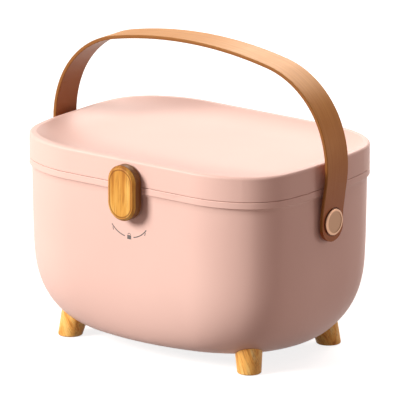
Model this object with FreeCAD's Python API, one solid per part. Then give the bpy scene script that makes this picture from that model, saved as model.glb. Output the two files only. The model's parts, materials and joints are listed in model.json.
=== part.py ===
import FreeCAD, Part
import math
import os

# Medicine box: a moulded case on four wooden feet, with a hinged lid, a wooden turn
# knob in front and a leather carrying strap. Sizes in mm, floor at Z = 0, front
# towards -Y, left and right as seen from the front.

os.makedirs("parts", exist_ok=True)
V = FreeCAD.Vector

# Case and lid
LENGTH = 280.0            # over the rim, left to right
DEPTH = 201.0             # over the rim, front to back
LID_HEIGHT = 22.4         # case rim to the crest of the lid
SEAM_GAP = 0.4            # dark line between rim and lid
END_RADIUS = 180.0        # rim outline: flat ends, round corners, bowed front
END_SWEEP = 10.0
CORNER_RADIUS = 51.0
FRONT_RADIUS = 92.0
FRONT_SWEEP = 30.0
WALL = 2.6
EDGE_EASE = 0.5

# Case below the rim
RIM_BAND = 5.5            # height of the full-size band under the seam
RIM_STEP = 1.8            # how far the wall stands in from the band
COVE_HEIGHT = 6.0         # hollow curve that joins the band to the wall
RIM_WALL = 3.2            # thickness of the band
DRAFT = 0.013             # wall taper, mm inwards per mm down
BOWL_DEPTH = 146.6        # seam to underside
GROUND_GAP = 13.2         # underside to the floor
ROUND_HEIGHT = 70.0       # the bottom round: height, run at the ends, run at the front
ROUND_END = 38.0
ROUND_FRONT = 25.0
ROUND_POWER = 2.45
OVAL_SHARE = 0.7          # how far the outline turns to an oval at the underside
OVAL_POWER = 5.3
LEDGE_DEPTH = 7.5         # seam to the ledge that carries the tray
LEDGE_THICK = 3.0
LEDGE_REACH = 7.5         # ledge edge, measured in from the rim outline

# Lid
LID_WALL = 2.4
LID_TOP = 2.4
LID_EDGE = 2.4            # round on the outer top edge
DISH_RIM = 6.0            # crest width
DISH_DEPTH = 6.5
DISH_SLOPE = 40.0         # width of the slope round the dish
DISH_POWER = 3.0          # steeper next to the crest, then level
LIP_DEPTH = 3.5           # lid lip below the seam
LIP_WALL = 2.0
LIP_CLEARANCE = 0.5
LIP_ROOT = 4.0            # height of the lip's root above the seam

# Hinges at the back
HINGE_X = 40.0
KNUCKLE_R = 3.4
KNUCKLE_GAP = 0.4         # barrel to rim, and between knuckles
CASE_KNUCKLE = 24.0
LID_KNUCKLE = 12.0
HINGE_DROP = 2.0          # pin axis below the seam
LID_ARM = 4.6             # height of the lid's hinge arms
PIN_R = 1.5
RUNNING = 0.05            # radial clearance of every pin, post and shaft

# Turn knob
KNOB_WIDTH = 30.0
KNOB_HEIGHT = 49.0
KNOB_THICK = 10.0
KNOB_BEVEL = 2.4
KNOB_EASE = 0.8
KNOB_PIVOT_DEPTH = 14.8   # seam to the pivot
KNOB_STANDOFF = 1.2       # rim face to the back of the knob
BOSS_R = 7.0
BOSS_PROUD = 0.4          # boss face in front of the rim face
BOSS_INSIDE = 0.3         # ledge edge to the boss's inner face
SPINDLE_R = 3.0
SPINDLE_GRIP = 6.0        # spindle length inside the knob
WASHER_THICK = 1.0
OUTER_WASHER_THICK = 0.6
KNOB_WASHER_R = 6.4
NUT_R = 5.4
NUT_THICK = 3.6
SPINDLE_END = 1.2         # spindle past the nut
FACE_GAP = 0.2            # between flat faces that turn on each other
MAGNET_R = 4.0
MAGNET_THICK = 2.0
KEEPER_R = 4.5
KEEPER_THICK = 1.0
KEEPER_RISE = 7.0         # seam to the centre of magnet and keeper
FIT = 0.05                # set-in discs to their pockets, each way

# Strap and rivets
STRAP_WIDTH = 30.0
STRAP_THICK = 3.2
STRAP_EDGE = 0.8
STRAP_END_R = 15.0
STRAP_TAIL = 17.5         # rivet to the end of the strap
STRAP_LEAN = 8.5          # the legs lean out above the rivets
LEAN_RADIUS = 80.0
LEG_LENGTH = 22.5
LEG_RADIUS = 94.0
LEG_SWEEP = 21.5
SHOULDER_RADIUS = 81.0
SHOULDER_SWEEP = 56.3
RIVET_DEPTH = 30.6        # seam to the rivet
RIVET_PAD = 0.4           # flat pad on the case, proud of the wall
RIVET_PAD_R = 11.0
RIVET_BOSS_R = 9.0
RIVET_BOSS = 4.6          # pad face to the boss's inner face
SPACER_R = 10.0
SPACER_THICK = 2.0
SPACER_GAP = 0.1          # spacer to strap
CAP_R = 11.7
CAP_THICK = 2.6
CAP_ROUND = 1.1
CAP_DISH_R = 9.4
CAP_DISH = 0.3
CAP_SEAT_R = 12.7
CAP_SEAT = 0.5            # the cap sits this deep in the leather
POST_R = 4.0
RIVET_WASHER_R = 8.0
RIVET_HEAD_R = 6.0
RIVET_HEAD = 2.2
RIVET_SCREW_R = 2.0
RIVET_SCREW = 8.0

# Feet
FOOT_INSET_END = 42.5     # rim to the centre of the sole, at the ends
FOOT_INSET_FRONT = 43.0   # the same at front and back
FOOT_SPLAY = 14.0         # lean towards the corner, degrees
FOOT_SOLE_R = 10.4
FOOT_TAPER = 4.8          # half angle, degrees
FOOT_EASE = 1.2
FOOT_GAP = 0.3
FOOT_PAD_R = 7.0
FOOT_PAD = 6.0            # pad height inside the case wall
FOOT_SCREW_R = 2.0
FOOT_SCREW_GRIP = 9.0
FOOT_HEAD_R = 4.2
FOOT_HEAD = 2.2
SCREW_HOLE = 0.2          # radial clearance of the screws in the case

# Lift-out tray
TRAY_CLEARANCE = 0.6
TRAY_TUB = 16.0           # tub wall, measured in from the rim outline
TRAY_FLANGE = 2.0
TRAY_DEPTH = 36.0         # ledge to the underside of the tub
TRAY_WALL = 1.8
TRAY_ROUND = 5.0
RIB_THICK = 1.8
RIB_DROP = 3.0            # ribs below the flange
LONG_RIB_Y = 12.0
CROSS_RIB_X = 41.0

RING_POINTS = 64
WALL_STEPS = 5
ROUND_STEPS = 10
END_HALF = DEPTH / 2 - (
    END_RADIUS * math.sin(math.radians(END_SWEEP))
    + CORNER_RADIUS * (math.cos(math.radians(FRONT_SWEEP)) - math.sin(math.radians(END_SWEEP)))
    + FRONT_RADIUS * (1 - math.cos(math.radians(FRONT_SWEEP))))
FRONT_HALF = LENGTH / 2 - (
    END_RADIUS * (1 - math.cos(math.radians(END_SWEEP)))
    + CORNER_RADIUS * (math.cos(math.radians(END_SWEEP)) - math.sin(math.radians(FRONT_SWEEP)))
    + FRONT_RADIUS * math.sin(math.radians(FRONT_SWEEP)))
SEAM_Z = BOWL_DEPTH + GROUND_GAP
LID_TOP_Z = SEAM_Z + LID_HEIGHT
HINGE_Y = DEPTH / 2 + KNUCKLE_GAP + KNUCKLE_R
HINGE_Z = SEAM_Z - HINGE_DROP
FRONT_Y = -DEPTH / 2
KNOB_BACK_Y = FRONT_Y - KNOB_STANDOFF
KNOB_FACE_Y = KNOB_BACK_Y - KNOB_THICK
BOSS_IN_Y = FRONT_Y + LEDGE_REACH + BOSS_INSIDE
PIVOT_Z = SEAM_Z - KNOB_PIVOT_DEPTH
RIVET_Z = SEAM_Z - RIVET_DEPTH
PAD_X = LENGTH / 2 - RIM_STEP - DRAFT * RIVET_DEPTH + RIVET_PAD
STRAP_IN_X = PAD_X + SPACER_THICK + SPACER_GAP
STRAP_OUT_X = STRAP_IN_X + STRAP_THICK
LEDGE_Z = SEAM_Z - LEDGE_DEPTH
FOOT_X = LENGTH / 2 - FOOT_INSET_END
FOOT_Y = DEPTH / 2 - FOOT_INSET_FRONT
# The origin lies on the floor under the middle between knob face and hinge backs
ORIGIN_Y = (KNOB_FACE_Y + HINGE_Y + KNUCKLE_R) / 2


def arc_chain(start, heading, moves):
    """Tangent lines and arcs from start. A move is (length, 0) or (radius, turn)."""
    edges = []
    point = start
    angle = math.radians(heading)
    for size, turn in moves:
        if turn == 0:
            end = point + V(math.cos(angle), math.sin(angle), 0) * size
            edges.append(Part.makeLine(point, end))
        else:
            side = math.copysign(1, turn)
            spoke = V(math.sin(angle), -math.cos(angle), 0) * (size * side)
            centre = point - spoke
            half = FreeCAD.Rotation(V(0, 0, 1), turn / 2)
            middle = centre + half.multVec(spoke)
            end = centre + half.multVec(half.multVec(spoke))
            edges.append(Part.Arc(point, middle, end).toShape())
            angle += math.radians(turn)
        point = end
    return edges


def outline(inset, z):
    """Rim outline, moved in by inset."""
    corner_sweep = 90 - END_SWEEP - FRONT_SWEEP
    corner = [(END_RADIUS - inset, END_SWEEP),
              (CORNER_RADIUS - inset, corner_sweep),
              (FRONT_RADIUS - inset, FRONT_SWEEP)]
    half = [(2 * END_HALF, 0)] + corner + [(2 * FRONT_HALF, 0)] + corner[::-1]
    start = V(LENGTH / 2 - inset, -END_HALF, z)
    return Part.Wire(arc_chain(start, 90, half + half))


def ring_points(inset, z):
    return outline(inset, z).discretize(Number=RING_POINTS + 1)[:-1]


def smooth_ring(points):
    """One closed smooth edge; equal steps keep stacked rings in line."""
    steps = [float(step) for step in range(len(points) + 1)]
    curve = Part.BSplineCurve()
    curve.interpolate(Points=points, PeriodicFlag=True, Parameters=steps)
    return Part.Wire(curve.toShape())


def slab(inset, low, high):
    return Part.Face(outline(inset, low)).extrude(V(0, 0, high - low))


def skin(rings):
    return Part.makeLoft(rings, True, False, False, 3)


def case_ring(depth, in_end, in_front):
    """Case section at a depth under the seam: scaled rim outline, oval near the bottom."""
    half_length = LENGTH / 2
    half_depth = DEPTH / 2
    oval = OVAL_SHARE * (depth / BOWL_DEPTH) ** OVAL_POWER
    points = []
    for rim in ring_points(0, 0):
        x = rim.x / half_length
        y = rim.y / half_depth
        angle = math.atan2(y, x)
        x += oval * (math.cos(angle) - x)
        y += oval * (math.sin(angle) - y)
        points.append(V(x * (half_length - in_end), y * (half_depth - in_front), SEAM_Z - depth))
    return smooth_ring(points)


def bowl(inset, top_depth):
    """Solid of the case below the rim, moved in by inset."""
    start = BOWL_DEPTH - ROUND_HEIGHT
    rings = []
    for step in range(WALL_STEPS):
        depth = top_depth + (start - top_depth) * step / WALL_STEPS
        wall_in = RIM_STEP + DRAFT * depth + inset
        rings.append(case_ring(depth, wall_in, wall_in))
    for step in range(ROUND_STEPS + 1):
        angle = math.pi / 2 * step / ROUND_STEPS
        down = math.sin(angle) ** (2 / ROUND_POWER)
        across = 1 - max(math.cos(angle), 0) ** (2 / ROUND_POWER)
        depth = start + (ROUND_HEIGHT - inset) * down
        wall_in = RIM_STEP + DRAFT * depth + inset
        rings.append(case_ring(depth, wall_in + (ROUND_END - inset) * across,
                               wall_in + (ROUND_FRONT - inset) * across))
    return skin(rings)


def cove():
    """Hollow curve under the rim band."""
    foot = RIM_BAND + COVE_HEIGHT
    full = RIM_STEP + DRAFT * foot
    rings = []
    for step in range(5):
        angle = math.pi / 8 * step
        depth = RIM_BAND + COVE_HEIGHT * (1 - math.cos(angle))
        rings.append(case_ring(depth, full * math.sin(angle), full * math.sin(angle)))
    return skin(rings)


def cylinder(radius, start, end):
    axis = end - start
    return Part.makeCylinder(radius, axis.Length, start, axis)


def box(low, high):
    return Part.makeBox(high.x - low.x, high.y - low.y, high.z - low.z, low)


def pan_screw(head_r, head, shank_r, length, seat, direction):
    """Screw whose head rests on seat and whose shank runs along direction."""
    top = Part.makeCylinder(head_r, head, V(0, 0, -head), V(0, 0, 1))
    rim = [edge for edge in top.Edges if edge.BoundBox.ZMax < -head + 0.01]
    top = top.makeFillet(head * 0.45, rim)
    slot = box(V(-head_r * 0.6, -0.45, -head - 1), V(head_r * 0.6, 0.45, -head * 0.6))
    cross = slot.copy()
    cross.rotate(V(0, 0, 0), V(0, 0, 1), 90)
    screw = top.cut(slot.fuse(cross)).fuse(Part.makeCylinder(shank_r, length))
    screw.Placement = FreeCAD.Placement(seat, FreeCAD.Rotation(V(0, 0, 1), direction))
    return screw


def foot_axis(side_x, side_y):
    """Sole centre and the direction up the foot."""
    sole = V(side_x * FOOT_X, side_y * FOOT_Y, 0)
    lean = math.sin(math.radians(FOOT_SPLAY)) / math.sqrt(2)
    up = V(-side_x * lean, -side_y * lean, math.cos(math.radians(FOOT_SPLAY)))
    return sole, up


def foot_entry(outer, side_x, side_y):
    """Distance along the foot's axis from the sole to the underside of the case."""
    sole, up = foot_axis(side_x, side_y)
    inside = Part.makeLine(sole, sole + up * SEAM_Z).common(outer)
    return min((vertex.Point - sole).Length for vertex in inside.Vertexes)


def case_outer():
    band = Part.Face(case_ring(RIM_BAND, 0, 0)).extrude(V(0, 0, RIM_BAND))
    rim = [edge for edge in band.Edges if edge.BoundBox.ZMin > SEAM_Z - 0.01]
    band = band.makeFillet(EDGE_EASE, rim)
    return band.fuse([cove(), bowl(0, RIM_BAND + COVE_HEIGHT)])


def case_cavity():
    mouth = slab(RIM_WALL, LEDGE_Z, SEAM_Z + 1)
    throat = slab(LEDGE_REACH, LEDGE_Z - LEDGE_THICK, LEDGE_Z)
    return mouth.fuse([throat, bowl(WALL, LEDGE_DEPTH + LEDGE_THICK)])


def hinge_barrel(x_low, x_high):
    return cylinder(KNUCKLE_R, V(x_low, HINGE_Y, HINGE_Z), V(x_high, HINGE_Y, HINGE_Z))


def pin_hole(x_centre):
    reach = CASE_KNUCKLE / 2 + KNUCKLE_GAP + LID_KNUCKLE + 1
    return cylinder(PIN_R + RUNNING, V(x_centre - reach, HINGE_Y, HINGE_Z),
                    V(x_centre + reach, HINGE_Y, HINGE_Z))


def case_shell(outer):
    shell = outer.cut(case_cavity())
    knob_boss = cylinder(BOSS_R, V(0, FRONT_Y - BOSS_PROUD, PIVOT_Z),
                         V(0, BOSS_IN_Y, PIVOT_Z))
    added = [knob_boss]
    holes = [cylinder(SPINDLE_R + RUNNING, V(0, FRONT_Y - 5, PIVOT_Z), V(0, 0, PIVOT_Z))]
    for side in (-1, 1):
        added.append(cylinder(RIVET_PAD_R, V(side * (PAD_X - RIVET_PAD - 1), 0, RIVET_Z),
                              V(side * PAD_X, 0, RIVET_Z)))
        added.append(cylinder(RIVET_BOSS_R, V(side * (PAD_X - RIVET_BOSS), 0, RIVET_Z),
                              V(side * (PAD_X - RIVET_PAD - 1), 0, RIVET_Z)))
        holes.append(cylinder(POST_R + RUNNING, V(side * (PAD_X - 20), 0, RIVET_Z),
                              V(side * (PAD_X + 5), 0, RIVET_Z)))
        centre = side * HINGE_X
        arm = box(V(centre - CASE_KNUCKLE / 2, DEPTH / 2 - 1.5, SEAM_Z - RIM_BAND),
                  V(centre + CASE_KNUCKLE / 2, HINGE_Y, HINGE_Z + 1))
        added.append(arm.fuse(hinge_barrel(centre - CASE_KNUCKLE / 2, centre + CASE_KNUCKLE / 2)))
        holes.append(pin_hole(centre))
        for side_y in (-1, 1):
            sole, up = foot_axis(side, side_y)
            entry = foot_entry(outer, side, side_y)
            pad = cylinder(FOOT_PAD_R, sole + up * entry, sole + up * (entry + WALL + FOOT_PAD))
            added.append(pad.common(outer))
            holes.append(cylinder(FOOT_SCREW_R + SCREW_HOLE, sole,
                                  sole + up * (entry + WALL + FOOT_PAD + 1)))
    return shell.fuse(added).cut(holes)


def dish():
    """What is cut away over the lid's dish."""
    rings = []
    for step in range(6):
        share = step / 5
        drop = DISH_DEPTH * (1 - (1 - share) ** DISH_POWER)
        rings.append(smooth_ring(ring_points(DISH_RIM + DISH_SLOPE * share, LID_TOP_Z - drop)))
    above = Part.Face(rings[0]).extrude(V(0, 0, LID_HEIGHT))
    return skin(rings).fuse(above)


def lid_shell():
    bottom = SEAM_Z + SEAM_GAP
    block = slab(0, bottom, LID_TOP_Z)
    top = [edge for edge in block.Edges if edge.BoundBox.ZMin > LID_TOP_Z - 0.01]
    block = block.makeFillet(LID_EDGE, top)
    foot = [edge for edge in block.Edges if edge.BoundBox.ZMax < bottom + 0.01]
    block = block.makeFillet(EDGE_EASE, foot)
    hollow_cut = dish()
    outside = block.cut(hollow_cut)
    hollow_cut.translate(V(0, 0, -LID_TOP))
    hollow = slab(LID_WALL, bottom - 1, LID_TOP_Z - LID_TOP).cut(hollow_cut)
    shell = outside.cut(hollow)
    lip_out = RIM_WALL + LIP_CLEARANCE
    root = slab(LID_WALL - 0.5, bottom, SEAM_Z + LIP_ROOT)
    lip = root.fuse(slab(lip_out, SEAM_Z - LIP_DEPTH, SEAM_Z + LIP_ROOT))
    added = [lip.cut(slab(lip_out + LIP_WALL, SEAM_Z - LIP_DEPTH - 1, SEAM_Z + LIP_ROOT + 1))]
    holes = [keeper_disc(FIT)]
    for side in (-1, 1):
        centre = side * HINGE_X
        inner = CASE_KNUCKLE / 2 + KNUCKLE_GAP
        for low in (centre - inner - LID_KNUCKLE, centre + inner):
            arm = box(V(low, DEPTH / 2 - 1.5, bottom),
                      V(low + LID_KNUCKLE, HINGE_Y, bottom + LID_ARM))
            added.append(arm.fuse(hinge_barrel(low, low + LID_KNUCKLE)))
        holes.append(pin_hole(centre))
    return shell.fuse(added).cut(holes)


def keeper_disc(clearance):
    z = SEAM_Z + KEEPER_RISE
    return cylinder(KEEPER_R + clearance, V(0, FRONT_Y - clearance, z),
                    V(0, FRONT_Y + KEEPER_THICK, z))


def magnet_disc(clearance):
    z = SEAM_Z + KEEPER_RISE
    return cylinder(MAGNET_R + clearance, V(0, KNOB_BACK_Y + clearance, z),
                    V(0, KNOB_BACK_Y - MAGNET_THICK, z))


def knob():
    radius = KNOB_WIDTH / 2
    low = PIVOT_Z
    high = PIVOT_Z + KNOB_HEIGHT - KNOB_WIDTH
    body = cylinder(radius, V(0, KNOB_BACK_Y, low), V(0, KNOB_FACE_Y, low))
    body = body.fuse([cylinder(radius, V(0, KNOB_BACK_Y, high), V(0, KNOB_FACE_Y, high)),
                      box(V(-radius, KNOB_FACE_Y, low), V(radius, KNOB_BACK_Y, high))])
    body = body.removeSplitter()
    face = [edge for edge in body.Edges if edge.BoundBox.YMax < KNOB_FACE_Y + 0.01]
    body = body.makeChamfer(KNOB_BEVEL, face)
    bevel = KNOB_FACE_Y + KNOB_BEVEL + 0.01
    body = body.makeFillet(KNOB_EASE, [edge for edge in body.Edges if edge.BoundBox.YMax < bevel])
    back = [edge for edge in body.Edges if edge.BoundBox.YMin > KNOB_BACK_Y - 0.01]
    body = body.makeFillet(KNOB_EASE, back)
    socket = cylinder(SPINDLE_R + FIT, V(0, KNOB_BACK_Y + 1, low),
                      V(0, KNOB_BACK_Y - SPINDLE_GRIP - FIT, low))
    return body.cut([socket, magnet_disc(FIT)])


def washer(radius, hole, start, end):
    return cylinder(radius, start, end).cut(cylinder(hole, start, end))


def knob_parts():
    boss_face = FRONT_Y - BOSS_PROUD
    washer_y = BOSS_IN_Y + FACE_GAP
    nut_y = washer_y + WASHER_THICK
    end_y = nut_y + NUT_THICK + SPINDLE_END
    at = lambda y: V(0, y, PIVOT_Z)
    spindle = cylinder(SPINDLE_R, at(KNOB_BACK_Y - SPINDLE_GRIP), at(end_y))
    spindle = spindle.makeChamfer(0.5, spindle.Edges[0:1] + spindle.Edges[2:3])
    nut = Part.Face(Part.makePolygon([V(NUT_R * math.cos(math.pi / 3 * k), 0,
                                        NUT_R * math.sin(math.pi / 3 * k)) for k in range(7)]))
    nut = nut.extrude(V(0, NUT_THICK, 0))
    nut.translate(at(nut_y))
    return {
        "knob": knob(),
        "knob_spindle": spindle,
        "knob_washer_outer": washer(KNOB_WASHER_R, SPINDLE_R + RUNNING,
                                    at(boss_face - OUTER_WASHER_THICK), at(boss_face)),
        "knob_washer_inner": washer(KNOB_WASHER_R, SPINDLE_R + FIT, at(washer_y), at(nut_y)),
        "knob_nut": nut.cut(cylinder(SPINDLE_R + FIT, at(nut_y), at(nut_y + NUT_THICK))),
        "knob_magnet": magnet_disc(0),
        "lid_keeper": keeper_disc(0),
    }


def strap_line(inward):
    """Right half of the strap, from the rivet up to the crown, moved in by inward."""
    moves = [(LEAN_RADIUS + inward, -STRAP_LEAN),
             (LEG_LENGTH, 0),
             (LEG_RADIUS - inward, STRAP_LEAN + LEG_SWEEP),
             (SHOULDER_RADIUS - inward, SHOULDER_SWEEP)]
    edges = arc_chain(V(STRAP_OUT_X - inward, RIVET_Z, 0), 90, moves)
    left = 90 - LEG_SWEEP - SHOULDER_SWEEP
    reach = edges[-1].Vertexes[-1].X
    crown_radius = reach / math.sin(math.radians(left))
    return edges + arc_chain(V(reach, edges[-1].Vertexes[-1].Y, 0), 180 - left,
                             [(crown_radius, left)])


def handle_strap():
    outer = strap_line(0)
    inner = strap_line(STRAP_THICK)
    foot_z = RIVET_Z - STRAP_TAIL
    foot = [V(STRAP_OUT_X, RIVET_Z, 0), V(STRAP_OUT_X, foot_z, 0),
            V(STRAP_IN_X, foot_z, 0), V(STRAP_IN_X, RIVET_Z, 0)]
    sides = [Part.makeLine(a, b) for a, b in zip(foot, foot[1:])]
    crown = Part.makeLine(outer[-1].Vertexes[-1].Point, inner[-1].Vertexes[-1].Point)
    face = Part.Face(Part.Wire(Part.__sortEdges__(outer + [crown] + inner + sides)))
    face.rotate(V(0, 0, 0), V(1, 0, 0), 90)
    half = face.extrude(V(0, STRAP_WIDTH, 0))
    half.translate(V(0, -STRAP_WIDTH / 2, 0))
    strap = half.fuse(half.mirror(V(0, 0, 0), V(1, 0, 0))).removeSplitter()
    rims = [edge for edge in strap.Edges
            if abs(abs(edge.BoundBox.Center.y) - STRAP_WIDTH / 2) < 0.01
            and edge.BoundBox.YLength < 0.01 and edge.BoundBox.DiagonalLength > STRAP_THICK + 1]
    strap = strap.makeFillet(STRAP_EDGE, rims)
    end_z = foot_z + STRAP_END_R
    reach = STRAP_OUT_X + 5
    corner = box(V(-reach, -STRAP_WIDTH, foot_z - 1), V(reach, STRAP_WIDTH, end_z))
    corner = corner.cut(cylinder(STRAP_END_R, V(-reach, 0, end_z), V(reach, 0, end_z)))
    cuts = [corner, cylinder(POST_R + RUNNING, V(-reach, 0, RIVET_Z), V(reach, 0, RIVET_Z))]
    for side in (-1, 1):
        cuts.append(cylinder(CAP_SEAT_R, V(side * (STRAP_OUT_X - CAP_SEAT), 0, RIVET_Z),
                             V(side * reach, 0, RIVET_Z)))
    return strap.cut(cuts)


def rivet_parts(side):
    at = lambda x: V(side * x, 0, RIVET_Z)
    seat = STRAP_OUT_X - CAP_SEAT + FACE_GAP
    face = seat + CAP_THICK
    boss = PAD_X - RIVET_BOSS
    washer_x = boss - FACE_GAP
    post_end = washer_x - WASHER_THICK
    cap = cylinder(CAP_R, at(seat), at(face))
    outer = [edge for edge in cap.Edges if abs(edge.BoundBox.Center.x - side * face) < 0.01]
    cap = cap.makeFillet(CAP_ROUND, outer)
    cap = cap.cut(cylinder(CAP_DISH_R, at(face - CAP_DISH), at(face + 1)))
    rivet = cap.fuse(cylinder(POST_R, at(seat), at(post_end)))
    rivet = rivet.cut(cylinder(RIVET_SCREW_R + FIT, at(post_end - 1),
                               at(post_end + RIVET_SCREW + 1)))
    return {
        "rivet": rivet,
        "rivet_spacer": washer(SPACER_R, POST_R + RUNNING, at(PAD_X), at(PAD_X + SPACER_THICK)),
        "rivet_washer": washer(RIVET_WASHER_R, POST_R + FIT, at(washer_x), at(post_end)),
        "rivet_screw": pan_screw(RIVET_HEAD_R, RIVET_HEAD, RIVET_SCREW_R, RIVET_SCREW,
                                 at(post_end), V(side, 0, 0)),
    }


def foot(entry, under_case, side_x, side_y):
    sole, up = foot_axis(side_x, side_y)
    spread = math.tan(math.radians(FOOT_TAPER))
    below = 5.0
    length = entry + 30 + below
    low_r = FOOT_SOLE_R - below * spread
    wood = Part.makeCone(low_r, low_r + length * spread, length, sole - up * below, up)
    wood = wood.cut(box(V(-LENGTH, -DEPTH, -20), V(LENGTH, DEPTH, 0)))
    wood = wood.cut(under_case)
    wood = min(wood.Solids, key=lambda solid: solid.BoundBox.ZMin)
    rim = [edge for edge in wood.Edges if edge.BoundBox.ZMax < 0.01]
    wood = wood.makeFillet(FOOT_EASE, rim)
    tip = entry - FOOT_SCREW_GRIP
    return wood.cut(cylinder(FOOT_SCREW_R + FIT, sole + up * (tip - 1), sole + up * (entry + 5)))


def foot_screw(entry, side_x, side_y):
    sole, up = foot_axis(side_x, side_y)
    seat = entry + WALL + FOOT_PAD
    return pan_screw(FOOT_HEAD_R, FOOT_HEAD, FOOT_SCREW_R, WALL + FOOT_PAD + FOOT_SCREW_GRIP,
                     sole + up * seat, up * -1)


def upper_tray():
    floor_z = LEDGE_Z - TRAY_DEPTH
    top_z = LEDGE_Z + TRAY_FLANGE
    tub = slab(TRAY_TUB, floor_z, top_z)
    low = [edge for edge in tub.Edges if edge.BoundBox.ZMax < floor_z + 0.01]
    tub = tub.makeFillet(TRAY_ROUND, low)
    hollow = slab(TRAY_TUB + TRAY_WALL, floor_z + TRAY_WALL, top_z + 1)
    low = [edge for edge in hollow.Edges if edge.BoundBox.ZMax < floor_z + TRAY_WALL + 0.01]
    hollow = hollow.makeFillet(TRAY_ROUND - TRAY_WALL, low)
    rib_z = top_z - RIB_DROP
    half_length = LENGTH / 2
    half_depth = DEPTH / 2
    ribs = [box(V(-half_length, LONG_RIB_Y - RIB_THICK / 2, floor_z),
                V(half_length, LONG_RIB_Y + RIB_THICK / 2, rib_z)),
            box(V(-RIB_THICK / 2, LONG_RIB_Y, floor_z), V(RIB_THICK / 2, half_depth, rib_z))]
    for side in (-1, 1):
        centre = side * CROSS_RIB_X
        ribs.append(box(V(centre - RIB_THICK / 2, -half_depth, floor_z),
                        V(centre + RIB_THICK / 2, LONG_RIB_Y, rib_z)))
    ribs = ribs[0].fuse(ribs[1:]).common(tub)
    flange = slab(RIM_WALL + TRAY_CLEARANCE, LEDGE_Z, top_z)
    return tub.fuse(flange).cut(hollow).fuse(ribs)


def save(node, shape):
    shape = shape.removeSplitter()
    shape.translate(V(0, -ORIGIN_Y, 0))
    shape.exportStep("parts/" + node + ".step")


outer = case_outer()
under_case = bowl(-FOOT_GAP, RIM_BAND + COVE_HEIGHT)
save("case_shell", case_shell(outer))
save("lid_shell", lid_shell())
save("handle_strap", handle_strap())
save("upper_tray", upper_tray())
for node, shape in knob_parts().items():
    save(node, shape)
for side, name in ((-1, "left"), (1, "right")):
    reach = CASE_KNUCKLE / 2 + KNUCKLE_GAP + LID_KNUCKLE
    save("hinge_pin_" + name, cylinder(PIN_R, V(side * HINGE_X - reach, HINGE_Y, HINGE_Z),
                                       V(side * HINGE_X + reach, HINGE_Y, HINGE_Z)))
    for node, shape in rivet_parts(side).items():
        save(node + "_" + name, shape)
    for side_y, row in ((-1, "front"), (1, "back")):
        entry = foot_entry(outer, side, side_y)
        save("foot_" + row + "_" + name, foot(entry, under_case, side, side_y))
        save("foot_screw_" + row + "_" + name, foot_screw(entry, side, side_y))
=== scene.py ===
import json
import math

import bmesh
import bpy
from mathutils import Matrix, Vector
from mathutils.bvhtree import BVHTree


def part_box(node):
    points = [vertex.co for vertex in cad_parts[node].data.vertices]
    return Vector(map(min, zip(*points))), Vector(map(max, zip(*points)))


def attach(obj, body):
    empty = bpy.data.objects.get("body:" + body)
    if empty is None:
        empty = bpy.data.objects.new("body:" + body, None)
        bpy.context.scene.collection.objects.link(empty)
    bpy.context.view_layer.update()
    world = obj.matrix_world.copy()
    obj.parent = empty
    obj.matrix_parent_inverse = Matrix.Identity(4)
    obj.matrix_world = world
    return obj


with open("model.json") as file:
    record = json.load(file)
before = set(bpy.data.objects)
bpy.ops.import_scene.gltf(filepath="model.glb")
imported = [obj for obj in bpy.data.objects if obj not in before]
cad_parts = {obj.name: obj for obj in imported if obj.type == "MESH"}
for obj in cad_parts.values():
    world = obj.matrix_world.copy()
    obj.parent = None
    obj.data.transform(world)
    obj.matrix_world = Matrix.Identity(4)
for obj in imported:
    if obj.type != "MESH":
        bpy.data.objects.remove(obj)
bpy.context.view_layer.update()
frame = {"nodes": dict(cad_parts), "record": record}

MM = 0.001
case_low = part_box("case_shell")[0]
strap_low, strap_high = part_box("handle_strap")
rivet_low, rivet_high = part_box("rivet_right")
knob_low, knob_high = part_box("knob")
MID_Y = (strap_low.y + strap_high.y) / 2
SEAM_Z = 159.8 * MM
RIVET_Z = (rivet_low.z + rivet_high.z) / 2

RIVET_SEAT = 12.7 * MM     # the strap is pressed in round each rivet
RIVET_DISH = 9.6 * MM      # edge of the dish in the rivet's cap
KNOB_LINE = 11.4 * MM      # dark line round the knob's face, from its long axis

# Photograph: picture size, and the pixel where the middle of the seam plane appears
PICTURE = 400
SEAM_PIXEL = (199.3, 160.6)
PIXELS_PER_METRE = 1158.5
AZIMUTH = math.radians(37.2)
ELEVATION = math.radians(15.4)
DISTANCE = 8.0
SENSOR = 36.0


def colour(code):
    """A #rrggbb sRGB colour as the linear RGBA that sockets take."""
    channels = []
    for start in (0, 2, 4):
        value = int(code[start:start + 2], 16) / 255
        channels.append(value / 12.92 if value <= 0.04045 else ((value + 0.055) / 1.055) ** 2.4)
    return (*channels, 1.0)


def add_node(tree, kind, inputs=None, stops=None, **settings):
    """Adds a node. An input takes a value or another node's output; stops fill a colour ramp."""
    node = tree.nodes.new(kind)
    for name, value in settings.items():
        setattr(node, name, value)
    for name, value in (inputs or {}).items():
        if isinstance(value, bpy.types.NodeSocket):
            tree.links.new(value, node.inputs[name])
        else:
            node.inputs[name].default_value = value
    if stops:
        elements = node.color_ramp.elements
        while len(elements) < len(stops):
            elements.new(0.5)
        for element, (place, shade) in zip(elements, stops):
            element.position = place
            element.color = shade
    return node


def new_material(name):
    """An empty material, its tree and the Object coordinates that its patterns read."""
    material = bpy.data.materials.new(name)
    material.use_nodes = True
    tree = material.node_tree
    tree.nodes.clear()
    place = add_node(tree, "ShaderNodeTexCoord").outputs["Object"]
    return material, tree, place


def finish_surface(tree, shader):
    add_node(tree, "ShaderNodeOutputMaterial", {"Surface": shader})


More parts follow.
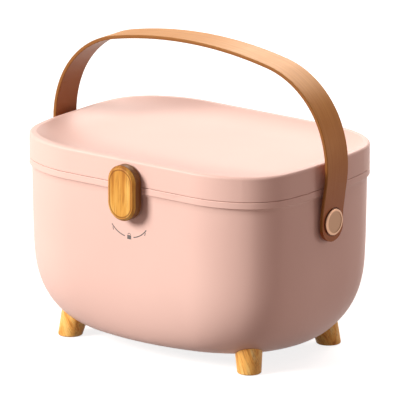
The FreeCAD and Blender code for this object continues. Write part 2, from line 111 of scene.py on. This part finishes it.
def moulded_plastic(name, face, shade, roughness, gloss):
    """Satin injection-moulded ABS: even colour, soft highlight, a faint flow of tone."""
    material, tree, place = new_material(name)
    flow = add_node(tree, "ShaderNodeTexNoise", {"Vector": place, "Scale": 1 / (90 * MM),
                                                 "Detail": 2.0, "Roughness": 0.5})
    tone = add_node(tree, "ShaderNodeValToRGB", {"Fac": flow.outputs["Fac"]},
                    stops=[(0.3, colour(shade)), (0.7, colour(face))])
    # The etched mould leaves a grain of about 0.2 mm, drawn at 0.9 mm to show at all
    grain = add_node(tree, "ShaderNodeTexNoise", {"Vector": place, "Scale": 1 / (0.9 * MM),
                                                  "Detail": 2.0, "Roughness": 0.6})
    rough = add_node(tree, "ShaderNodeMapRange", {"Value": grain.outputs["Fac"],
                                                  "To Min": roughness - 0.03,
                                                  "To Max": roughness + 0.03})
    bump = add_node(tree, "ShaderNodeBump", {"Height": grain.outputs["Fac"],
                                             "Strength": 0.06, "Distance": 0.05 * MM})
    shader = add_node(tree, "ShaderNodeBsdfPrincipled", {
        "Base Color": tone.outputs["Color"], "Roughness": rough.outputs["Result"],
        "IOR": 1.5, "Specular IOR Level": gloss, "Normal": bump.outputs["Normal"]})
    finish_surface(tree, shader.outputs["BSDF"])
    return material


def from_rivet(tree, place):
    """Place seen along the strap's pivot axis, measured from that axis."""
    axes = add_node(tree, "ShaderNodeSeparateXYZ", {"Vector": place})
    across = add_node(tree, "ShaderNodeMath", {0: axes.outputs["Y"], 1: MID_Y},
                      operation="SUBTRACT")
    above = add_node(tree, "ShaderNodeMath", {0: axes.outputs["Z"], 1: RIVET_Z},
                     operation="SUBTRACT")
    return add_node(tree, "ShaderNodeCombineXYZ", {"Y": across.outputs[0],
                                                   "Z": above.outputs[0]}).outputs["Vector"]


def bridle_leather():
    """Vegetable-tanned strap leather: smooth waxed faces with faint streaks along its length,
    redder legs, a darker cut edge, and painted shade as a dark ring in the recess round each rivet."""
    material, tree, place = new_material("vegetable_tanned_leather")
    coordinates = add_node(tree, "ShaderNodeTexCoord")
    axes = add_node(tree, "ShaderNodeSeparateXYZ", {"Vector": place})
    # Streaks are 2 mm wide and run on for 60 mm
    stretch = add_node(tree, "ShaderNodeMapping",
                       {"Vector": place, "Scale": (1 / (60 * MM), 1 / (2 * MM), 1 / (60 * MM))})
    streaks = add_node(tree, "ShaderNodeTexNoise", {"Vector": stretch.outputs["Vector"],
                                                    "Scale": 1.0, "Detail": 3.0, "Roughness": 0.6})
    clouds = add_node(tree, "ShaderNodeTexNoise", {"Vector": place, "Scale": 1 / (28 * MM),
                                                   "Detail": 3.0, "Roughness": 0.55})
    tan = add_node(tree, "ShaderNodeValToRGB", {"Fac": streaks.outputs["Fac"]}, stops=[
        (0.25, colour("bd8035")), (0.5, colour("c98b3c")), (0.78, colour("d59849"))])
    patina = add_node(tree, "ShaderNodeMapRange", {"Value": clouds.outputs["Fac"],
                                                   "From Min": 0.35, "From Max": 0.7,
                                                   "To Min": 0.0, "To Max": 0.35})
    worn = add_node(tree, "ShaderNodeMix", {"Factor": patina.outputs["Result"],
                                            6: tan.outputs["Color"], 7: colour("b8763a")},
                    data_type="RGBA")
    # The flesh side, which faces into the arch, is darker and greyer than the grain side: partly
    # its own tone, partly painted shade for the shade inside the arch
    outward = add_node(tree, "ShaderNodeCombineXYZ", {"X": axes.outputs["X"]})
    height = add_node(tree, "ShaderNodeMath", {0: axes.outputs["Z"], 1: RIVET_Z},
                      operation="SUBTRACT")
    tree.links.new(height.outputs[0], outward.inputs["Z"])
    facing = add_node(tree, "ShaderNodeVectorMath",
                      {0: outward.outputs["Vector"], 1: coordinates.outputs["Normal"]},
                      operation="DOT_PRODUCT")
    flesh_side_and_shade = add_node(tree, "ShaderNodeMapRange", {"Value": facing.outputs["Value"],
                                                  "From Min": -5 * MM, "From Max": -25 * MM})
    inner_face_shaded = add_node(tree, "ShaderNodeMix", {"Factor": flesh_side_and_shade.outputs["Result"],
                                             6: worn.outputs[2], 7: colour("81542c")},
                     data_type="RGBA")
    # The legs turn a darker red-brown towards the rivets
    low = add_node(tree, "ShaderNodeMapRange", {"Value": axes.outputs["Z"],
                                                "From Min": RIVET_Z + 125 * MM,
                                                "From Max": RIVET_Z + 5 * MM,
                                                "To Min": 0.0, "To Max": 0.85})
    reddened = add_node(tree, "ShaderNodeMix", {"Factor": low.outputs["Result"],
                                                6: inner_face_shaded.outputs[2], 7: colour("8a3814")},
                        data_type="RGBA")
    across = add_node(tree, "ShaderNodeMath", {0: axes.outputs["Y"], 1: MID_Y},
                      operation="SUBTRACT")
    off_middle = add_node(tree, "ShaderNodeMath", {0: across.outputs[0]}, operation="ABSOLUTE")
    half_width = (strap_high.y - strap_low.y) / 2
    edge = add_node(tree, "ShaderNodeMapRange", {"Value": off_middle.outputs[0],
                                                 "From Min": half_width - 0.7 * MM,
                                                 "From Max": half_width - 0.35 * MM})
    edged = add_node(tree, "ShaderNodeMix", {"Factor": edge.outputs["Result"],
                                             6: reddened.outputs[2], 7: colour("8a5a2e")},
                     data_type="RGBA")
    # Painted shade: a dark ring in the recess pressed round each rivet
    radius = add_node(tree, "ShaderNodeVectorMath", {0: from_rivet(tree, place)},
                      operation="LENGTH")
    rivet_shade_ring = add_node(tree, "ShaderNodeMapRange", {"Value": radius.outputs["Value"],
                                                 "From Min": RIVET_SEAT + 0.2 * MM,
                                                 "From Max": RIVET_SEAT - 0.1 * MM})
    rivet_ring_shaded = add_node(tree, "ShaderNodeMix", {"Factor": rivet_shade_ring.outputs["Result"],
                                              6: edged.outputs[2], 7: colour("6e2c1a")},
                      data_type="RGBA")
    # Hair-cell grain is about 0.3 mm, drawn at 0.7 mm to show at all
    pores = add_node(tree, "ShaderNodeTexVoronoi", {"Vector": place, "Scale": 1 / (0.7 * MM)})
    relief = add_node(tree, "ShaderNodeMath", {0: pores.outputs["Distance"],
                                               1: streaks.outputs["Fac"]}, operation="ADD")
    bump = add_node(tree, "ShaderNodeBump", {"Height": relief.outputs[0],
                                             "Strength": 0.15, "Distance": 0.1 * MM})
    rough = add_node(tree, "ShaderNodeMapRange", {"Value": clouds.outputs["Fac"],
                                                  "To Min": 0.36, "To Max": 0.5})
    shader = add_node(tree, "ShaderNodeBsdfPrincipled", {
        "Base Color": rivet_ring_shaded.outputs[2], "Roughness": rough.outputs["Result"],
        "IOR": 1.45, "Specular IOR Level": 0.7, "Specular Tint": colour("ffc98c"),
        "Normal": bump.outputs["Normal"]})
    finish_surface(tree, shader.outputs["BSDF"])
    return material


def from_knob_axis(tree, place):
    """Distance from the knob's long axis, the same all along its rounded outline."""
    middle = (knob_low.z + knob_high.z) / 2
    straight = ((knob_high.z - knob_low.z) - (knob_high.x - knob_low.x)) / 2
    axes = add_node(tree, "ShaderNodeSeparateXYZ", {"Vector": place})
    rise = add_node(tree, "ShaderNodeMath", {0: axes.outputs["Z"], 1: middle},
                    operation="SUBTRACT")
    height = add_node(tree, "ShaderNodeMath", {0: rise.outputs[0]}, operation="ABSOLUTE")
    over = add_node(tree, "ShaderNodeMath", {0: height.outputs[0], 1: straight},
                    operation="SUBTRACT")
    past = add_node(tree, "ShaderNodeMath", {0: over.outputs[0], 1: 0.0}, operation="MAXIMUM")
    spoke = add_node(tree, "ShaderNodeCombineXYZ", {"X": axes.outputs["X"],
                                                    "Z": past.outputs[0]})
    return add_node(tree, "ShaderNodeVectorMath", {0: spoke.outputs["Vector"]},
                    operation="LENGTH").outputs["Value"]


def oiled_oak(name, turn, tones, pore, side_shade_and_line):
    """Oiled oak: golden wood, wandering darker growth lines and fine pores along the grain.
    The last argument sets how much painted shade darkens the sides, and how dark the line round the
    knob's face comes out."""
    material, tree, place = new_material(name)
    laid = add_node(tree, "ShaderNodeMapping", {"Vector": place, "Rotation": turn})
    # Growth lines are 3 to 8 mm apart: noise that is stretched along the grain
    drawn = add_node(tree, "ShaderNodeMapping", {
        "Vector": laid.outputs["Vector"],
        "Scale": (1 / (5 * MM), 1 / (5 * MM), 1 / (55 * MM))})
    rings = add_node(tree, "ShaderNodeTexNoise", {
        "Vector": drawn.outputs["Vector"], "Scale": 1.0, "Detail": 2.0, "Roughness": 0.55,
        "Distortion": 0.4})
    fibre_place = add_node(tree, "ShaderNodeMapping", {
        "Vector": laid.outputs["Vector"],
        "Scale": (1 / (0.9 * MM), 1 / (0.9 * MM), 1 / (16 * MM))})
    fibres = add_node(tree, "ShaderNodeTexNoise", {"Vector": fibre_place.outputs["Vector"],
                                                   "Scale": 1.0, "Detail": 4.0,
                                                   "Roughness": 0.65})
    wood = add_node(tree, "ShaderNodeValToRGB", {"Fac": rings.outputs["Fac"]}, stops=[
        (place, colour(tone)) for place, tone in zip((0.3, 0.42, 0.55, 0.7), tones)])
    pores = add_node(tree, "ShaderNodeMapRange", {"Value": fibres.outputs["Fac"],
                                                  "From Min": 0.52, "From Max": 0.66,
                                                  "To Min": 0.0, "To Max": 0.65})
    grained = add_node(tree, "ShaderNodeMix", {"Factor": pores.outputs["Result"],
                                               6: wood.outputs["Color"], 7: colour(pore)},
                       data_type="RGBA")
    # Painted shade: sides and bevels that turn away from the front come out darker
    sides = add_node(tree, "ShaderNodeSeparateXYZ",
                     {"Vector": add_node(tree, "ShaderNodeTexCoord").outputs["Normal"]})
    side_shade = add_node(tree, "ShaderNodeMapRange", {"Value": sides.outputs["Y"],
                                                   "From Min": -0.95, "From Max": -0.3,
                                                   "To Min": 0.0, "To Max": side_shade_and_line})
    side_shaded = add_node(tree, "ShaderNodeMix", {"Factor": side_shade.outputs["Result"],
                                             6: grained.outputs[2], 7: colour("5e3410")},
                     data_type="RGBA")
    # A darker line runs round the knob's face
    beyond = add_node(tree, "ShaderNodeMath", {0: from_knob_axis(tree, place), 1: KNOB_LINE},
                      operation="SUBTRACT")
    off_line = add_node(tree, "ShaderNodeMath", {0: beyond.outputs[0]}, operation="ABSOLUTE")
    face_line = add_node(tree, "ShaderNodeMapRange", {"Value": off_line.outputs[0],
                                                   "From Min": 0.9 * MM, "From Max": 0.25 * MM,
                                                   "To Min": 0.0, "To Max": side_shade_and_line})
    lined = add_node(tree, "ShaderNodeMix", {"Factor": face_line.outputs["Result"],
                                             6: side_shaded.outputs[2], 7: colour("8a5218")},
                     data_type="RGBA")
    bump = add_node(tree, "ShaderNodeBump", {"Height": fibres.outputs["Fac"],
                                             "Strength": 0.25, "Distance": 0.15 * MM})
    shader = add_node(tree, "ShaderNodeBsdfPrincipled", {
        "Base Color": lined.outputs[2], "Roughness": 0.45, "IOR": 1.5,
        "Specular IOR Level": 0.3, "Normal": bump.outputs["Normal"]})
    finish_surface(tree, shader.outputs["BSDF"])
    return material


def plated_metal(name, face, roughness, scratch, rim_highlight_colour=None):
    """Satin plated metal: fine turned brushing breaks up the reflections. A rivet's rim is
    painted lighter than the dish inside it: a painted highlight."""
    material, tree, place = new_material(name)
    brushing = add_node(tree, "ShaderNodeTexNoise", {"Vector": place, "Scale": 1 / (scratch * MM),
                                                     "Detail": 3.0})
    rough = add_node(tree, "ShaderNodeMapRange", {"Value": brushing.outputs["Fac"],
                                                  "To Min": roughness - 0.06,
                                                  "To Max": roughness + 0.08})
    bump = add_node(tree, "ShaderNodeBump", {"Height": brushing.outputs["Fac"],
                                             "Strength": 0.08, "Distance": 0.05 * MM})
    shader = add_node(tree, "ShaderNodeBsdfPrincipled", {
        "Base Color": colour(face), "Metallic": 1.0, "Roughness": rough.outputs["Result"],
        "Normal": bump.outputs["Normal"]})
    # Painted highlight: a rivet's rim is painted lighter than its dish
    if rim_highlight_colour:
        radius = add_node(tree, "ShaderNodeVectorMath", {0: from_rivet(tree, place)},
                          operation="LENGTH")
        rim_highlight_mask = add_node(tree, "ShaderNodeMapRange", {"Value": radius.outputs["Value"],
                                                       "From Min": RIVET_DISH - 0.3 * MM,
                                                       "From Max": RIVET_DISH + 0.3 * MM})
        dish_and_rim_highlight = add_node(tree, "ShaderNodeMix", {"Factor": rim_highlight_mask.outputs["Result"],
                                                    6: colour(face), 7: colour(rim_highlight_colour)},
                            data_type="RGBA")
        tree.links.new(dish_and_rim_highlight.outputs[2], shader.inputs["Base Color"])
    finish_surface(tree, shader.outputs["BSDF"])
    return material


def printing_ink():
    """Pad-printed grey ink, matte, a little uneven where the pad pressed less."""
    material, tree, place = new_material("pad_printed_ink")
    press = add_node(tree, "ShaderNodeTexNoise", {"Vector": place, "Scale": 1 / (1.5 * MM)})
    tone = add_node(tree, "ShaderNodeValToRGB", {"Fac": press.outputs["Fac"]},
                    stops=[(0.3, colour("5c5a59")), (0.7, colour("757170"))])
    shader = add_node(tree, "ShaderNodeBsdfPrincipled", {
        "Base Color": tone.outputs["Color"], "Roughness": 0.6})
    finish_surface(tree, shader.outputs["BSDF"])
    return material


def paint_nodes():
    """Gives every CAD node the finish of its material slot."""
    knob_oak = oiled_oak("oiled_oak_knob", (0.0, 0.0, 0.0),
                         ("a3651c", "cf9038", "e2ab4e", "efc268"), "a86a22", 0.85)
    # Painted light: the feet's oak tones are paler than the knob's, lightened for the light under
    # the case; their strong grain is the wood's own
    foot_oak_painted_light = oiled_oak("oiled_oak_feet_painted_light", (0.0, math.radians(24), math.radians(37)),
                         ("c98638", "f7b85c", "ffcf74", "ffe096"), "b97a34", 0.0)
    finishes = {
        "pink_plastic": moulded_plastic("satin_pink_abs", "f4d4ca", "f1d0c6", 0.45, 0.3),
        "tray_plastic": moulded_plastic("satin_white_polypropylene", "efe9e2", "ebe4dc", 0.45, 0.4),
        "nylon": moulded_plastic("natural_nylon", "ddd6c8", "d6cfc0", 0.5, 0.4),
        "strap_leather": bridle_leather(),
        "knob_wood": knob_oak,
        "foot_wood": foot_oak_painted_light,
        # The last colour is the painted highlight on the rivets' rims
        "rivet_metal": plated_metal("rose_gold_plated_brass", "94735b", 0.34, 0.5, "bd957a"),
        "steel": plated_metal("zinc_plated_steel", "b9babd", 0.34, 0.6),
        "magnet": plated_metal("nickel_plated_magnet", "a9a6a2", 0.3, 0.8),
    }
    for part in frame["record"]["subparts"]:
        node = frame["nodes"][part["node"]]
        node.data.materials.clear()
        node.data.materials.append(finishes[part["material_slot"]])


# Printed turn mark under the knob, in mm from the middle of the case and below the seam
MARK_CENTRE = 23.6
MARK_RADIUS = 23.3
MARK_LINE = 0.95
MARK_END = math.radians(52.5)
MARK_GAP = math.radians(11.5)
MARK_LEFT = 0.9
TICK_BACK = math.radians(9.0)
TICK_OUT = 1.6
TICK_WIDTH = 0.7
TICK_HEIGHT = 2.8
TICK_TURN = 0.35
LOCK_WIDTH = 4.2
LOCK_HEIGHT = 3.6
SHACKLE_RADIUS = 1.35
SHACKLE_LINE = 0.5
SHACKLE_RISE = 0.4
INK_LIFT = 0.04 * MM


def arc_band(bm, centre_depth, radius, start, sweep, width, steps):
    """A flat curved band on the front; angles run from straight down towards the right."""
    centre = Vector((0, 0, SEAM_Z - centre_depth * MM))
    spoke = Vector((math.sin(start), 0, -math.cos(start)))
    ends = [bm.verts.new(centre + spoke * (radius + side * width / 2) * MM) for side in (-1, 1)]
    edge = bm.edges.new(ends)
    bmesh.ops.spin(bm, geom=[*ends, edge], cent=centre, axis=(0, -1, 0), angle=sweep,
                   steps=steps, use_merge=False, use_duplicate=False)


def bar(bm, x, depth, width, height, turn):
    """A flat bar on the front, turned clockwise as seen from the front."""
    made = bmesh.ops.create_grid(bm, x_segments=1, y_segments=1, size=0.5)["verts"]
    bmesh.ops.scale(bm, vec=(width * MM, height * MM, 1), verts=made)
    bmesh.ops.rotate(bm, matrix=Matrix.Rotation(turn, 3, "Z"), verts=made)
    bmesh.ops.rotate(bm, matrix=Matrix.Rotation(math.pi / 2, 3, "X"), verts=made)
    bmesh.ops.translate(bm, vec=(x * MM, 0, SEAM_Z - depth * MM), verts=made)


def turn_mark():
    """Arc with a padlock at its lowest point and a tick at each end, laid on the case wall."""
    bm = bmesh.new()
    for side in (-1, 1):
        arc_band(bm, MARK_CENTRE, MARK_RADIUS, side * MARK_GAP, side * (MARK_END - MARK_GAP),
                 MARK_LINE, 18)
        end = MARK_END - TICK_BACK
        bar(bm, side * (MARK_RADIUS + TICK_OUT) * math.sin(end),
            MARK_CENTRE + (MARK_RADIUS + TICK_OUT) * math.cos(end),
            TICK_WIDTH, TICK_HEIGHT, -side * TICK_TURN)
    lock_depth = MARK_CENTRE + MARK_RADIUS
    bar(bm, 0, lock_depth, LOCK_WIDTH, LOCK_HEIGHT, 0)
    shackle_foot = lock_depth - LOCK_HEIGHT / 2 - SHACKLE_RISE
    arc_band(bm, shackle_foot, SHACKLE_RADIUS, math.pi / 2, math.pi, SHACKLE_LINE, 10)
    case = frame["nodes"]["case_shell"].data
    skin = BVHTree.FromPolygons([vertex.co for vertex in case.vertices],
                                [face.vertices for face in case.polygons])
    for vertex in bm.verts:
        start = Vector((vertex.co.x - MARK_LEFT * MM, case_low.y - 50 * MM, vertex.co.z))
        hit = skin.ray_cast(start, Vector((0, 1, 0)))[0]
        vertex.co = hit - Vector((0, INK_LIFT, 0))
    bmesh.ops.recalc_face_normals(bm, faces=bm.faces)
    if sum(face.normal.y for face in bm.faces) > 0:
        bmesh.ops.reverse_faces(bm, faces=bm.faces)
    mesh = bpy.data.meshes.new("printed_turn_mark")
    bm.to_mesh(mesh)
    bm.free()
    mesh.materials.append(printing_ink())
    mark = bpy.data.objects.new("printed_turn_mark", mesh)
    bpy.context.scene.collection.objects.link(mark)
    film = mark.modifiers.new("ink_film", "SOLIDIFY")
    film.thickness = INK_LIFT
    film.offset = -1.0
    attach(mark, "case")


# Studio, in metres; the fill is linear light
FLOOR_HALF = 30
FLOOR_DROP = 0.0002
FLOOR_GLOW = 0.82
FILL = (0.27, 0.182, 0.163, 1.0)
WHITE = (1.0, 1.0, 1.0, 1.0)
LAMP_DISTANCE = 2.6


def studio_floor():
    """A pale floor that shows white, keeps a soft shadow and throws little light upwards."""
    bm = bmesh.new()
    bmesh.ops.create_grid(bm, x_segments=1, y_segments=1, size=FLOOR_HALF)
    mesh = bpy.data.meshes.new("floor")
    bm.to_mesh(mesh)
    bm.free()
    floor = bpy.data.objects.new("floor", mesh)
    bpy.context.scene.collection.objects.link(floor)
    floor.location.z = -FLOOR_DROP
    material, tree, _ = new_material("white_paper")
    seen = seen_directly(tree)
    paper = add_node(tree, "ShaderNodeMix", {"Factor": seen, 6: colour("857873"),
                                             7: colour("b4b4b4")}, data_type="RGBA")
    diffuse = add_node(tree, "ShaderNodeBsdfDiffuse", {"Color": paper.outputs[2]})
    glow = add_node(tree, "ShaderNodeEmission", {"Strength": 0.0})
    level = add_node(tree, "ShaderNodeMath", {0: seen, 1: FLOOR_GLOW}, operation="MULTIPLY")
    tree.links.new(level.outputs[0], glow.inputs["Strength"])
    both = add_node(tree, "ShaderNodeAddShader", {0: diffuse.outputs[0], 1: glow.outputs[0]})
    finish_surface(tree, both.outputs[0])
    mesh.materials.append(material)


def seen_directly(tree):
    """1 where the camera, a reflection or a clear surface looks at it, and 0 for its light."""
    path = add_node(tree, "ShaderNodeLightPath")
    mirrored = add_node(tree, "ShaderNodeMath", {0: path.outputs["Is Camera Ray"],
                                                 1: path.outputs["Is Glossy Ray"]},
                        operation="MAXIMUM")
    clear = add_node(tree, "ShaderNodeMath", {0: mirrored.outputs[0],
                                              1: path.outputs["Is Transmission Ray"]},
                     operation="MAXIMUM")
    return clear.outputs[0]


def studio_world():
    """Warm soft fill from all round, seen as plain white."""
    world = bpy.data.worlds.new("studio")
    world.use_nodes = True
    tree = world.node_tree
    tree.nodes.clear()
    seen = seen_directly(tree)
    fill = add_node(tree, "ShaderNodeMix", {"Factor": seen, 6: FILL, 7: WHITE},
                    data_type="RGBA")
    glow = add_node(tree, "ShaderNodeBackground", {"Color": fill.outputs[2], "Strength": 1.0})
    add_node(tree, "ShaderNodeOutputWorld", {"Surface": glow.outputs[0]})
    bpy.context.scene.world = world


def softbox(name, direction, size, level, tint):
    """A square lamp; level is how bright it makes a white surface that faces it."""
    lamp = bpy.data.lights.new(name, "AREA")
    lamp.shape = "SQUARE"
    lamp.size = size
    lamp.energy = level * math.pi ** 2 * LAMP_DISTANCE ** 2
    lamp.color = colour(tint)[:3]
    holder = bpy.data.objects.new(name, lamp)
    bpy.context.scene.collection.objects.link(holder)
    target = Vector((0, MID_Y, SEAM_Z * 0.7))
    away = Vector(direction).normalized()
    holder.location = target + away * LAMP_DISTANCE
    holder.rotation_euler = away.to_track_quat("Z", "Y").to_euler()


def studio_lamps():
    softbox("key_front_left", (-0.45, -0.77, 0.45), 1.0, 1.17, "fff6f0")
    softbox("top_back", (-0.16, 0.76, 0.62), 1.9, 0.82, "fff8f0")
    softbox("rim_right_back", (0.85, 0.65, 0.15), 0.8, 0.1, "ffe9e0")


def photo_camera():
    """A distant camera; its aim puts the seam plane's middle on its pixel in the photograph."""
    away = Vector((math.sin(AZIMUTH) * math.cos(ELEVATION),
                   -math.cos(AZIMUTH) * math.cos(ELEVATION), math.sin(ELEVATION)))
    right = Vector((math.cos(AZIMUTH), math.sin(AZIMUTH), 0))
    up = away.cross(right)
    middle = PICTURE / 2
    aim = Vector((0, MID_Y, SEAM_Z))
    aim += right * (middle - SEAM_PIXEL[0]) / PIXELS_PER_METRE
    aim += up * (SEAM_PIXEL[1] - middle) / PIXELS_PER_METRE
    data = bpy.data.cameras.new("photo_camera")
    data.sensor_width = SENSOR
    data.lens = PIXELS_PER_METRE * DISTANCE * SENSOR / PICTURE
    data.clip_end = 100.0
    camera = bpy.data.objects.new("photo_camera", data)
    bpy.context.scene.collection.objects.link(camera)
    camera.location = aim + away * DISTANCE
    camera.rotation_euler = away.to_track_quat("Z", "Y").to_euler()
    bpy.context.scene.camera = camera


photo_camera()
paint_nodes()
turn_mark()
studio_floor()
studio_world()
studio_lamps()
bpy.context.scene.view_settings.view_transform = "Standard"
